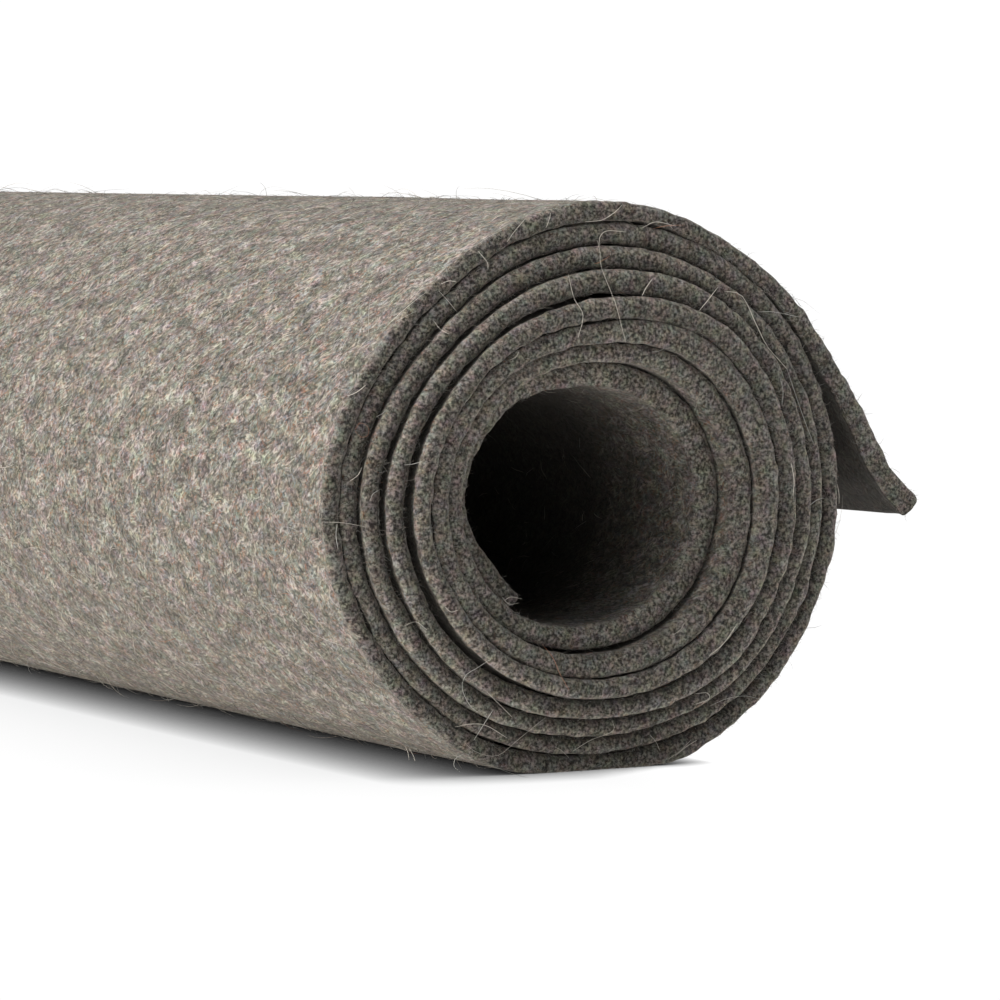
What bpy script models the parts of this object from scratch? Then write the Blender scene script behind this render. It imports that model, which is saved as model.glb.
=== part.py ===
"""A cut length of 3 mm wool felt, wound by hand into a loose roll whose outer end stands off.

The roll lies on its side on a surface at z = 0. Its axis runs along Y, its near end is at -Y and
its loose end hangs off on the +X side. The origin is on the surface, under the axis, halfway
along the roll. Metres, +Z up.
"""

import math

import bmesh
import bpy
import numpy as np

# The cloth
FELT_THICKNESS = 0.003  # as sold, and where the roll presses it
LAYER_GAP = 0.0005  # left between two turns where they would touch
FELT_WIDTH = 0.450  # the cloth's width is the roll's length
FELT_COLOUR = (0.155, 0.139, 0.123, 1.0)
FELT_ROUGHNESS = 0.95

# The roll
AXIS_HEIGHT = 0.052  # less than the roll's radius, because the roll sits flat on its foot
FOOT_BLEND = 0.001  # height over which the round side turns into the flat foot
INNER_END_DIRECTION = 235  # degrees, on the innermost turn
SWELL = 0.0004  # how far the side bulges and dips along the roll
SWELL_WAVES = 1.3
END_WANDER = 0.0015  # how far the loose end's cut edge strays from straight
END_WANDER_WAVES = 1.7

# How finely the cloth is divided
LENGTH_STEPS = 348
WIDTH_STEPS = 4
SPAN_STEPS = 24  # between two neighbouring values of the tables below

# Distance from the roll's axis to the outer face of the felt, in millimetres. Each row is one
# turn, outermost first. The columns are directions from the axis, in degrees from +X, turning
# from +X over +Z to -X, which is counter-clockwise as seen from the near end.
FIRST_DIRECTION = 90
DIRECTION_STEP = 45
DIRECTIONS_PER_TURN = 360 // DIRECTION_STEP
TURN_RADII_MM = (
    # 90   135   180   225   270   315   360   405
    (55.0, 52.0, 55.8, 54.2, 54.4, 55.0, 55.0, 53.4),
    (50.9, 48.5, 52.2, 50.7, 48.7, 51.2, 50.9, 49.2),
    (46.5, 44.7, 48.4, 47.3, 45.2, 47.5, 47.3, 45.7),
    (42.1, 40.7, 44.0, 43.5, 41.8, 43.9, 43.2, 41.8),
    (36.9, 36.6, 39.1, 38.5, 38.1, 39.6, 39.1, 37.4),
    (32.5, 33.0, 35.2, 34.9, 34.1, 34.7, 33.6, 31.9),
    (28.3, 29.5, 31.4, 30.6, 28.9, 29.0, 28.3, 27.2),
    (24.6, 26.0, 27.6, 25.8, 29.6, 31.0),
)

# How thick the felt springs back to where it has room, in millimetres, in the same directions
RELAXED_THICKNESS_MM = (4.2, 3.3, 3.1, 3.3, 4.4, 5.0, 5.0, 5.0)

# How far each turn's near edge stands out of the roll's end, in millimetres, at 180 degrees
EDGE_REACH_MM = (0.0, 0.0, 1.9, 3.3, 4.7, 4.1, 2.2, -3.9)

# The loose end's outer face, in millimetres right of and above the roll's axis, tip first, and
# how thick the felt is there
LOOSE_END_MM = (
    # right, up, thick
    (73.6, -3.2, 4.4),
    (66.6, 4.2, 4.3),
    (60.4, 14.9, 3.9),
    (54.1, 24.4, 3.5),
    (46.2, 35.0, 3.2),
    (37.2, 42.7, 3.0),
    (27.2, 48.9, 3.0),
    (14.3, 53.6, 3.0),
)


def smooth_through(points, steps):
    """Catmull-Rom curve through all points but the first and last, with steps points a span."""
    points = np.asarray(points, float)
    t = np.arange(steps).reshape(-1, *([1] * (points.ndim - 1))) / steps
    spans = []
    for before, start, end, after in zip(points, points[1:], points[2:], points[3:]):
        out_of_start = (end - before) / 2
        into_end = (after - start) / 2
        bend = 3 * (end - start) - 2 * out_of_start - into_end
        ease = 2 * (start - end) + out_of_start + into_end
        spans.append(start + t * (out_of_start + t * (bend + t * ease)))
    return np.concatenate(spans + [points[-2:-1]])


def wound_radii():
    """(directions in degrees, radii in metres) along the wound felt, from its top inwards."""
    radii = np.concatenate([np.array(turn) for turn in TURN_RADII_MM]) / 1000
    radii = np.concatenate([[2 * radii[0] - radii[1]], radii])
    radii = smooth_through(radii, SPAN_STEPS)
    directions = FIRST_DIRECTION + DIRECTION_STEP * np.arange(len(radii)) / SPAN_STEPS
    last_direction = INNER_END_DIRECTION + 360 * (len(TURN_RADII_MM) - 1)
    kept = directions <= last_direction
    return directions[kept], radii[kept]


def wound_thickness(directions, x, z):
    """The felt's thickness where it is wound, in metres.

    It fills the room up to the next turn inside it, less the gap, but is never thinner than the
    felt as sold, nor thicker than it springs back to in that direction.
    """
    per_turn = DIRECTIONS_PER_TURN * SPAN_STEPS
    room = np.full(len(x), np.inf)
    room[:-per_turn] = np.hypot(x[:-per_turn] - x[per_turn:], z[:-per_turn] - z[per_turn:]) - LAYER_GAP
    step = (directions - FIRST_DIRECTION) / DIRECTION_STEP
    relaxed = np.array(RELAXED_THICKNESS_MM) / 1000
    relaxed = np.interp(step, np.arange(len(relaxed)), relaxed, period=DIRECTIONS_PER_TURN)
    return np.clip(room, FELT_THICKNESS, relaxed)


def pressed_flat(height):
    """Heights above the surface, with what would sink into it eased up to lie on it."""
    eased = (height + FOOT_BLEND) ** 2 / (4 * FOOT_BLEND)
    return np.where(height < -FOOT_BLEND, 0.0, np.where(height < FOOT_BLEND, eased, height))


def felt_outline(along):
    """The felt's outer face at one place along the roll (0 near end, 1 far end).

    It gives positions x and z, each one's winding in turns and its thickness, from the loose tip
    inwards.
    """
    directions, radii = wound_radii()
    wound_x = radii * np.cos(np.radians(directions))
    wound_z = radii * np.sin(np.radians(directions))
    pressed_z = pressed_flat(wound_z + AXIS_HEIGHT)
    thickness = wound_thickness(directions, wound_x, pressed_z)

    tip, behind_tip = np.array(LOOSE_END_MM[:2])[:, :2] / 1000
    heading = (tip - behind_tip) / np.linalg.norm(tip - behind_tip)
    wander = END_WANDER * math.sin(2 * math.pi * END_WANDER_WAVES * along)
    loose = np.array(LOOSE_END_MM) / 1000
    loose[0, :2] = tip + heading * wander
    # It runs on to the top of the roll, in the direction of a place just past the top.
    joined = np.stack([wound_x, wound_z, thickness], axis=1)[[0, SPAN_STEPS // 3]]
    loose = np.concatenate([[2 * loose[0] - loose[1]], loose, joined])
    loose = smooth_through(loose, SPAN_STEPS)[:-1]

    x = np.concatenate([loose[:, 0], wound_x])
    z = np.concatenate([loose[:, 1], wound_z])
    bulge = np.sin(2 * np.arctan2(z, x)) * math.sin(2 * math.pi * SWELL_WAVES * along)
    swollen = 1 + SWELL * bulge / radii[0]
    before_winding = np.zeros(len(loose))
    turns = np.concatenate([before_winding, (directions - FIRST_DIRECTION) / 360])
    thickness = np.concatenate([loose[:, 2], thickness])
    return x * swollen, pressed_flat(z * swollen + AXIS_HEIGHT), turns, thickness


def evenly_spaced(outline, count):
    """The same outline at count + 1 places that lie evenly along the felt."""
    x, z = outline[:2]
    lengths = np.concatenate([[0.0], np.cumsum(np.hypot(np.diff(x), np.diff(z)))])
    wanted = np.linspace(0.0, lengths[-1], count + 1)
    return [np.interp(wanted, lengths, values) for values in outline]


def edge_reach(turns):
    """How far the felt is shifted towards the near end, in metres, where it has this winding."""
    reach = np.array(EDGE_REACH_MM) / 1000
    at_180 = np.arange(len(reach)) + (180 - FIRST_DIRECTION) / 360
    return np.interp(turns, at_180, reach)


def rolled_up():
    """Places and thickness of the felt, as arrays of (across the width, along the length)."""
    places = []
    thicknesses = []
    for along in np.linspace(0.0, 1.0, WIDTH_STEPS + 1):
        x, z, turns, thickness = evenly_spaced(felt_outline(along), LENGTH_STEPS)
        y = (along - 0.5) * FELT_WIDTH - edge_reach(turns)
        places.append(np.stack([x, y, z], axis=1))
        thicknesses.append(thickness)
    return np.array(places), np.array(thicknesses)


def felt_material():
    material = bpy.data.materials.new("wool felt")
    material.use_nodes = True
    shader = material.node_tree.nodes["Principled BSDF"]
    shader.inputs["Base Color"].default_value = FELT_COLOUR
    shader.inputs["Roughness"].default_value = FELT_ROUGHNESS
    shader.inputs["Metallic"].default_value = 0.0
    return material


def felt_roll(collection):
    """A flat grid, which is the felt as cut, rolled up and then given its thickness inwards."""
    places, thickness = rolled_up()
    thickest = thickness.max()
    sheet = bmesh.new()
    bmesh.ops.create_grid(sheet, x_segments=LENGTH_STEPS, y_segments=WIDTH_STEPS, size=0.5)
    fullness = sheet.verts.layers.deform.verify()
    for vertex in sheet.verts:
        along_length = round((vertex.co.x + 0.5) * LENGTH_STEPS)
        across_width = round((vertex.co.y + 0.5) * WIDTH_STEPS)
        vertex.co = places[across_width, along_length]
        vertex[fullness][0] = thickness[across_width, along_length] / thickest
    mesh = bpy.data.meshes.new("felt_roll")
    sheet.to_mesh(mesh)
    sheet.free()
    roll = bpy.data.objects.new("felt_roll", mesh)
    collection.objects.link(roll)
    roll.vertex_groups.new(name="fullness")
    mesh.materials.append(felt_material())
    solidify = roll.modifiers.new("thickness", "SOLIDIFY")
    solidify.thickness = thickest
    solidify.vertex_group = "fullness"
    solidify.offset = 1.0
    solidify.use_even_offset = True
    mesh.shade_smooth()
    mesh.set_sharp_from_angle(angle=math.radians(40))
    return roll


def main():
    for old in list(bpy.data.objects):
        bpy.data.objects.remove(old, do_unlink=True)
    collection = bpy.data.collections.new("roll of felt")
    bpy.context.scene.collection.children.link(collection)
    felt_roll(collection)
    x, z = felt_outline(0.5)[:2]
    length = np.hypot(np.diff(x), np.diff(z)).sum()
    print(f"felt as cut: {length:.3f} m long, {FELT_WIDTH:.3f} m wide")


main()
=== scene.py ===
# %% [markdown]
# # A roll of wool felt
#
# The object is one cut length of thick wool felt, wound by hand into a loose roll. It lies on its
# side, its turns stand out of the near end like the rings of a slipped stack, and its loose outer
# end hangs off at the right. The solid model already holds this spiral. Here it gets the finish of
# real felt: a soft cut edge, a mat of mottled fibres, and the stray hairs that stand off it.

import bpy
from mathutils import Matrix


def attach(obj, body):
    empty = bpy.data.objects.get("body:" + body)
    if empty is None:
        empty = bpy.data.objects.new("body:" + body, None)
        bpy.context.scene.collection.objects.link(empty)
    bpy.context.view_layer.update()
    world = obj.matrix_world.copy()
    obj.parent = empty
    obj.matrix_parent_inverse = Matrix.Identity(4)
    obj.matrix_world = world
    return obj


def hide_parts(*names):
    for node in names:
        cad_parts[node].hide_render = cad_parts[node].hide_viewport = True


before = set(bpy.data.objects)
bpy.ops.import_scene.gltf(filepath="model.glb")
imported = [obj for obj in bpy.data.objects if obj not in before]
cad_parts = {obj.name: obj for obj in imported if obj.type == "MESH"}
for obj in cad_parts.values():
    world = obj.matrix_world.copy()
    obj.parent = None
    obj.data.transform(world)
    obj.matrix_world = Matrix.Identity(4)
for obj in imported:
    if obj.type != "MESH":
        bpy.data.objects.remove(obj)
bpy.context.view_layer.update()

import functools
import math

import bpy
import numpy as np

print("pieces in the frame:", list(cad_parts))

# %% [markdown]
# ## The camera
#
# A picture of a round thing is fixed by very few facts. The near end's outline is an ellipse, and
# its shape gives the angle between the view and the roll's axis. How fast the side narrows towards
# the back gives the distance. A long lens a little over a metre away fits both. A camera in Blender
# looks along its own -Z, so it is tilted up by almost a right angle and then turned.

# %% Camera
MM = 0.001
LENS_MM = 187.9
SENSOR_MM = 36.0
CAMERA_PLACE = (-0.4809, -1.0768, 0.1159)
LOOKS_DOWN_DEG = 3.791
LOOKS_RIGHT_DEG = 28.452
NEAR_END_MIDDLE = (0.0, -0.225, 0.052)

scene = bpy.context.scene
camera_data = bpy.data.cameras.new("camera")
camera_data.lens = LENS_MM
camera_data.sensor_width = SENSOR_MM
camera = bpy.data.objects.new("camera", camera_data)
camera.location = CAMERA_PLACE
camera.rotation_euler = (math.radians(90 - LOOKS_DOWN_DEG), 0, math.radians(-LOOKS_RIGHT_DEG))
scene.collection.objects.link(camera)
scene.camera = camera
print("from the camera to the near end:", round(math.dist(CAMERA_PLACE, NEAR_END_MIDDLE), 3), "m")

# %% [markdown]
# ## The spiral
#
# Winding leaves every turn a little different, so the spiral is a table and not a formula. It has
# the distance from the roll's axis to the felt's outer face, with a row for each turn and a column
# for each direction, and a smooth curve runs through its values. An exact spiral would be shorter
# to write, but its turns would all be alike, and the eye reads that as a machine part.
#
# Felt is springy. Where the turns press on each other it is 3 mm thick, and where they are slack it
# swells to 5 mm and fills the room up to the next turn, which then shows only as a thin dark line.

# %% The spiral's table, outermost turn first
PRESSED_THICKNESS = 3 * MM
LAYER_GAP = 0.5 * MM
WIDTH = 450 * MM
AXIS_HEIGHT = 52 * MM
FOOT_BLEND = 2 * MM  # the finish eases into the flat foot more softly than the solid
FIRST_DIRECTION = 90
DIRECTION_STEP = 45
DIRECTIONS_PER_TURN = 360 // DIRECTION_STEP
INNER_END_DIRECTION = 235
SWELL = 0.4 * MM
SWELL_WAVES = 1.3
END_WANDER = 1.5 * MM
END_WANDER_WAVES = 1.7
SPAN_STEPS = 24
TURN_RADII_MM = (
    # 90   135   180   225   270   315   360   405
    (55.0, 52.0, 55.8, 54.2, 54.4, 55.0, 55.0, 53.4),
    (50.9, 48.5, 52.2, 50.7, 48.7, 51.2, 50.9, 49.2),
    (46.5, 44.7, 48.4, 47.3, 45.2, 47.5, 47.3, 45.7),
    (42.1, 40.7, 44.0, 43.5, 41.8, 43.9, 43.2, 41.8),
    (36.9, 36.6, 39.1, 38.5, 38.1, 39.6, 39.1, 37.4),
    (32.5, 33.0, 35.2, 34.9, 34.1, 34.7, 33.6, 31.9),
    (28.3, 29.5, 31.4, 30.6, 28.9, 29.0, 28.3, 27.2),
    (24.6, 26.0, 27.6, 25.8, 29.6, 31.0),
)
RELAXED_THICKNESS_MM = (4.2, 3.3, 3.1, 3.3, 4.4, 5.0, 5.0, 5.0)  # by direction, where there is room
EDGE_REACH_MM = (0.0, 0.0, 1.9, 3.3, 4.7, 4.1, 2.2, -3.9)  # how far each turn stands out
LOOSE_END_MM = (
    # right of and above the axis, thickness, tip first
    (73.6, -3.2, 4.4),
    (66.6, 4.2, 4.3),
    (60.4, 14.9, 3.9),
    (54.1, 24.4, 3.5),
    (46.2, 35.0, 3.2),
    (37.2, 42.7, 3.0),
    (27.2, 48.9, 3.0),
    (14.3, 53.6, 3.0),
)


# %% The path of the cloth
def unit(vectors):
    """The vectors, each scaled to a length of one."""
    return vectors / np.linalg.norm(vectors, axis=-1, keepdims=True)


def smooth_through(points, steps):
    """Catmull-Rom curve: each span is a cubic that leaves a point parallel to its neighbours."""
    points = np.asarray(points, float)
    t = np.arange(steps).reshape(-1, *([1] * (points.ndim - 1))) / steps
    spans = []
    for before, start, end, after in zip(points, points[1:], points[2:], points[3:]):
        out_of_start = (end - before) / 2
        into_end = (after - start) / 2
        bend = 3 * (end - start) - 2 * out_of_start - into_end
        ease = 2 * (start - end) + out_of_start + into_end
        spans.append(start + t * (out_of_start + t * (bend + t * ease)))
    return np.concatenate(spans + [points[-2:-1]])


def pressed_flat(height):
    """Heights above the surface: a parabola eases what would sink into it up to zero."""
    eased = (height + FOOT_BLEND) ** 2 / (4 * FOOT_BLEND)
    return np.where(height < -FOOT_BLEND, 0.0, np.where(height < FOOT_BLEND, eased, height))


def wound_thickness(directions, places):
    """Room to the turn inside, less a gap, but no less than pressed felt and no more than relaxed."""
    per_turn = DIRECTIONS_PER_TURN * SPAN_STEPS
    room = np.full(len(places), np.inf)
    room[:-per_turn] = np.linalg.norm(places[:-per_turn] - places[per_turn:], axis=1) - LAYER_GAP
    step = (np.degrees(directions) - FIRST_DIRECTION) / DIRECTION_STEP
    relaxed = np.array(RELAXED_THICKNESS_MM) * MM
    relaxed = np.interp(step, np.arange(len(relaxed)), relaxed, period=DIRECTIONS_PER_TURN)
    return np.clip(room, PRESSED_THICKNESS, relaxed)


def wound_path():
    """The outer face halfway along the roll, as named arrays from the loose tip inwards.

    A wound point is its radius times the cosine and sine of its direction. Swell is how far it
    moves when the roll bulges by one metre, and wander is the same for the loose tip's cut.
    """
    radii = np.concatenate([np.array(turn) for turn in TURN_RADII_MM]) * MM
    radii = smooth_through(np.concatenate([[2 * radii[0] - radii[1]], radii]), SPAN_STEPS)
    directions = FIRST_DIRECTION + DIRECTION_STEP * np.arange(len(radii)) / SPAN_STEPS
    kept = directions <= INNER_END_DIRECTION + 360 * (len(TURN_RADII_MM) - 1)
    radii, directions = radii[kept], np.radians(directions[kept])
    wound_places = radii[:, None] * np.stack([np.cos(directions), np.sin(directions)], axis=1)
    pressed = np.stack([wound_places[:, 0], pressed_flat(wound_places[:, 1] + AXIS_HEIGHT)], axis=1)
    wound_rows = np.concatenate([wound_places, wound_thickness(directions, pressed)[:, None]], axis=1)

    tip, behind_tip = np.array(LOOSE_END_MM[:2])[:, :2] * MM
    heading = unit(tip - behind_tip)
    curves = []
    for moved in (0.0, 1.0):
        loose = np.array(LOOSE_END_MM) * MM
        loose[0, :2] = tip + heading * moved
        # It runs on to the top of the roll, in the direction of a place just past the top.
        loose = np.concatenate([[2 * loose[0] - loose[1]], loose, wound_rows[[0, SPAN_STEPS // 3]]])
        curves.append(smooth_through(loose, SPAN_STEPS)[:-1])

    rows = np.concatenate([curves[0], wound_rows])
    places = rows[:, :2]
    flattened = np.stack([places[:, 0], pressed_flat(places[:, 1] + AXIS_HEIGHT)], axis=1)
    strides = np.linalg.norm(np.diff(flattened, axis=0), axis=1)
    length = np.concatenate([[0.0], np.cumsum(strides)])
    tangents = np.gradient(flattened, length, axis=0)
    bulge = np.sin(2 * np.arctan2(places[:, 1], places[:, 0]))
    turns = (np.degrees(directions) - FIRST_DIRECTION) / 360
    return {
        "length": length,
        "place": places,
        "thickness": rows[:, 2],
        "swell": bulge[:, None] * places / radii[0],
        "wander": np.concatenate([curves[1] - curves[0], 0 * wound_rows])[:, :2],
        "tangent": unit(tangents),
        "turns": np.concatenate([np.zeros(len(curves[0])), turns]),
    }


path = wound_path()
LENGTH = float(path["length"][-1])
LOOSE_LENGTH = float(path["length"][path["turns"] > 0][0])
print("length of the cloth:", round(LENGTH, 3), "m, of its loose end:", round(LOOSE_LENGTH, 3), "m")

# %% [markdown]
# ## From the flat cloth to a place in the roll
#
# One function carries any point of the flat cloth to its place: `s` metres from the loose tip, `w`
# metres from the middle of the width, and `deep`, from 0 on the outer face to 1 on the inner one.
# The sheet's points and later the root of every loose fibre go through it, so they all agree.


# %% The winding function
def along_path(name, s):
    """One of the path's arrays read off at s, with straight lines between its entries."""
    values = path[name]
    if values.ndim == 1:
        return np.interp(s, path["length"], values)
    return np.stack([np.interp(s, path["length"], column) for column in values.T], axis=-1)


def edge_reach(s, turns_in=0):
    """How far the turn at s, or one turns_in from it, is shifted towards the near end.

    The table's values lie at 180 degrees, with straight lines between them."""
    at_180 = np.arange(len(EDGE_REACH_MM)) + (180 - FIRST_DIRECTION) / 360
    return np.interp(along_path("turns", s) + turns_in, at_180, np.array(EDGE_REACH_MM) * MM)


def directions_at(s):
    """Unit vectors at s: forward, towards the cloth's inner end, and inward, into its thickness."""
    tangent = unit(along_path("tangent", s))
    nothing = np.zeros(tangent.shape[:-1])
    forward = np.stack([tangent[..., 0], nothing, tangent[..., 1]], axis=-1)
    inward = np.stack([-tangent[..., 1], nothing, tangent[..., 0]], axis=-1)
    return forward, inward


def wound(s, w, deep, lift=0.0):
    """Path at s, plus a swell and a wander that are sine waves across the width, plus deep times
    the thickness inwards, less lift metres. The width runs along Y, less the turn's reach."""
    s, w, deep, lift = np.broadcast_arrays(s, w, deep, lift)
    share = w / WIDTH + 0.5
    bulge = SWELL * np.sin(2 * math.pi * SWELL_WAVES * share)
    stray = END_WANDER * np.sin(2 * math.pi * END_WANDER_WAVES * share)
    flat = along_path("place", s) + bulge[..., None] * along_path("swell", s)
    flat = flat + stray[..., None] * along_path("wander", s)
    height = pressed_flat(flat[..., 1] + AXIS_HEIGHT)
    place = np.stack([flat[..., 0], w - edge_reach(s), height], axis=-1)
    depth = deep * along_path("thickness", s) - lift
    return place + depth[..., None] * directions_at(s)[1]


print("near corner of the loose tip:", wound(0.0, -WIDTH / 2, 0.0).round(4))

# %% [markdown]
# ## The sheet of felt
#
# Felt is cut with a blade, so its edge was square, but handling has rounded its corners by about a
# millimetre, and the fibres swell out of the cut unevenly, so that neighbouring turns nearly touch in
# places. The sheet is a closed profile, which runs along the outer face, over the far cut, back along
# the inner face and over the near cut, and it is carried along the spiral. Random waves move its
# points: long ones where the cut wandered, short ones where the fibres bunch. A Solidify modifier
# would give the thickness too, but then the cut would be a flat ribbon with no points to shape.

# %% Profile and waves
LENGTH_STEPS = 1700
CORNER = 1.0 * MM  # how far a corner's rounding reaches along the width
CORNER_SHARE = 0.34  # and how far into the thickness, as a share of it
CUT_POINTS = 10
FACE_ROWS_MM = (1.3, 1.8, 2.6, 4, 7, 16, 40, 90, 160)  # rows of points, counted from each cut
CROSS_STRETCH = 1.6  # fibres lie a little more across the cloth than along it, as they were carded
CUT_REACH = 2.5 * MM  # how far from a cut its unevenness reaches
FACE_START = 0.4  # a point further than this from half the thickness lies on a face
CUTS_APART = 7  # metres from the middle at which each cut reads its waves, so they aren't alike

# Each kind of wave: its height, and its shortest and longest wave
CUT_WANDER = (0.28 * MM, 9 * MM, 60 * MM)
CUT_BUNCHES = (0.13 * MM, 1.6 * MM, 5 * MM)
FACE_FLUFF = (0.11 * MM, 3 * MM, 14 * MM)
CUT_FLARE = (0.19 * MM, 2.5 * MM, 9 * MM)


def random_waves(s, w, kind, seed, count=28):
    """Sum of sine waves with random lengths, headings and phases, scaled to the kind's height."""
    height, shortest, longest = kind
    rng = np.random.default_rng(seed)
    lengths = shortest * (longest / shortest) ** rng.random(count)
    headings = rng.random(count) * 2 * math.pi
    phases = rng.random(count) * 2 * math.pi
    total = np.zeros(np.broadcast(s, w).shape)
    for length, heading, phase in zip(lengths, headings, phases):
        run = s * math.cos(heading) + w * math.sin(heading)
        total += np.sin(2 * math.pi * run / length + phase)
    return height * total / math.sqrt(count)


def cut_profile():
    """(how far a point lies out of the corner, deep) down a cut: a square end, rounded corners."""
    deep = (1 - np.cos(np.linspace(0, math.pi, CUT_POINTS))) / 2
    into_corner = np.clip(np.minimum(deep, 1 - deep) / CORNER_SHARE, 0, 1)
    return CORNER * np.sqrt(1 - (1 - into_corner) ** 2) - CORNER, deep


def sheet_profile():
    """(w, deep) of the profile's points, from the near end of the outer face and round it."""
    inset = np.array(FACE_ROWS_MM) * MM
    rows = np.concatenate([inset, (WIDTH - inset)[::-1]]) - WIDTH / 2
    out, deep = cut_profile()
    w = np.concatenate([rows, WIDTH / 2 + out, rows[::-1], -WIDTH / 2 - out])
    return w, np.concatenate([0 * rows, deep, 0 * rows + 1, deep[::-1]])


def round_profile(s):
    """Distance round the profile at each of its points, where the felt is as thick as at s.

    It runs slower across the width, so that what is drawn by it is stretched that way."""
    widths = np.diff(profile_w, append=profile_w[0]) / CROSS_STRETCH
    depths = np.diff(profile_deep, append=profile_deep[0]) * along_path("thickness", s)
    strides = np.hypot(widths, depths)
    return np.concatenate([np.zeros((len(strides), 1)), np.cumsum(strides, axis=1)], axis=1)


profile_w, profile_deep = sheet_profile()
print("points round the profile:", len(profile_w))


# %% Mesh helpers
def new_piece(name, points, faces):
    """A smooth mesh object at the origin, from points (n, 3) and faces (m, corners)."""
    mesh = bpy.data.meshes.new(name)
    corners = faces.shape[1]
    mesh.vertices.add(len(points))
    mesh.vertices.foreach_set("co", points.astype(np.float32).ravel())
    mesh.loops.add(faces.size)
    mesh.loops.foreach_set("vertex_index", faces.astype(np.int32).ravel())
    mesh.polygons.add(len(faces))
    mesh.polygons.foreach_set("loop_start", np.arange(0, faces.size, corners, dtype=np.int32))
    mesh.polygons.foreach_set("use_smooth", np.ones(len(faces), dtype=bool))
    mesh.update(calc_edges=True)
    piece = bpy.data.objects.new(name, mesh)
    scene.collection.objects.link(piece)
    print(name, "has", len(faces) * (corners - 2), "triangles")
    return piece


def quads_between_rings(rows, columns):
    """Corner numbers of the quads that join closed rings of points, ring after ring."""
    row, column = np.meshgrid(np.arange(rows - 1), np.arange(columns), indexing="ij")
    here, beside = row * columns + column, row * columns + (column + 1) % columns
    return np.stack([here, beside, beside + columns, here + columns], axis=-1).reshape(-1, 4)


# %% [markdown]
# The sheet is a list of such rings. Quads join ring to ring, and rungs across the first and the last
# ring close the cloth's two cut ends. Each quad corner also keeps its place on the flat cloth, in
# metres, as its UV. The felt's pattern is read there, so its fibres lie in the cloth and turn with
# it, and aren't projected through the roll.

# %% Painted shade between the turns and down the hole, and a painted rim highlight
SHELTER_REACH = 0.8 * MM  # how far into the gap between two turns light gets
HOLE_REACH = 32 * MM  # and how far down the hole in the middle
COVER_STARTS = 0.02  # turns over which a turn's cover begins at the cloth's two ends
STEP_REACH = 1.5 * MM  # a turn that stands out this far shades its neighbour's cut in full
STEP_SHADE = 0.75  # how much painted shade the cut then gets beside it
LEVEL_SHADE = 0.5  # share of that shade where the two cuts are level
RIM_LIGHT = -0.6  # painted highlight: the outer rim of a turn that stands out is the opposite of painted shade
RIM_DEPTH = 0.45  # share of the thickness that this reaches over
LEVEL_LIGHT = 0.3  # share of that light where the two cuts are level


def sheltered(s):
    """Painted shade, from 0 in the open to 1 between two turns: the distance in from the nearest edge
    that covers the point, over the reach of light. Light gets further down the hole, so its reach is
    longer there. A cut gets painted shade towards the turn inside, as the square of deep, where that
    one stands out, and a painted highlight, below 0, on its outer rim, most where it stands out itself."""
    turns = along_path("turns", s)
    on_outer = profile_deep < 0.5
    beside = np.where(on_outer, edge_reach(s, -1), edge_reach(s, 1))
    covered = np.where(on_outer, turns - 1, turns[-1] - 1 - turns)
    covered = np.clip(covered / COVER_STARTS, 0, 1)
    stands_out = edge_reach(s) - beside
    from_near = WIDTH / 2 + profile_w - np.maximum(stands_out, 0)
    from_far = WIDTH / 2 - profile_w - np.maximum(-stands_out, 0)
    inside = np.minimum(from_near, from_far)
    in_gap = covered * np.clip(inside / SHELTER_REACH, 0, 1)
    in_hole = np.where(on_outer, 0.0, 1 - covered) * np.clip(inside / HOLE_REACH, 0, 1)

    inner_step = (edge_reach(s, 1) - edge_reach(s)) / STEP_REACH
    outer_step = (edge_reach(s) - edge_reach(s, -1)) / STEP_REACH
    shade = STEP_SHADE * np.clip(inner_step + LEVEL_SHADE, 0, 1) * profile_deep ** 2
    rim = np.clip(1 - profile_deep / RIM_DEPTH, 0, 1)
    light = RIM_LIGHT * np.clip(outer_step + LEVEL_LIGHT, 0, 1) * rim
    on_near_cut = (profile_deep > 0) & (profile_deep < 1) & (profile_w < 0)
    on_band = on_outer & (from_near < 0)
    return np.where(on_near_cut | on_band, shade + light, in_gap + in_hole)


print("sheltered at the loose tip and two turns in:", sheltered(np.array([[0.0], [0.8]])).max(axis=1))

# %% Build the sheet
END_ROWS_MM = (0.0, 0.25, 0.6, 1.1)  # rings that round off the cloth's two cut ends
END_FULLNESS = 0.75  # the thickness left in the outermost of them


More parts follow.
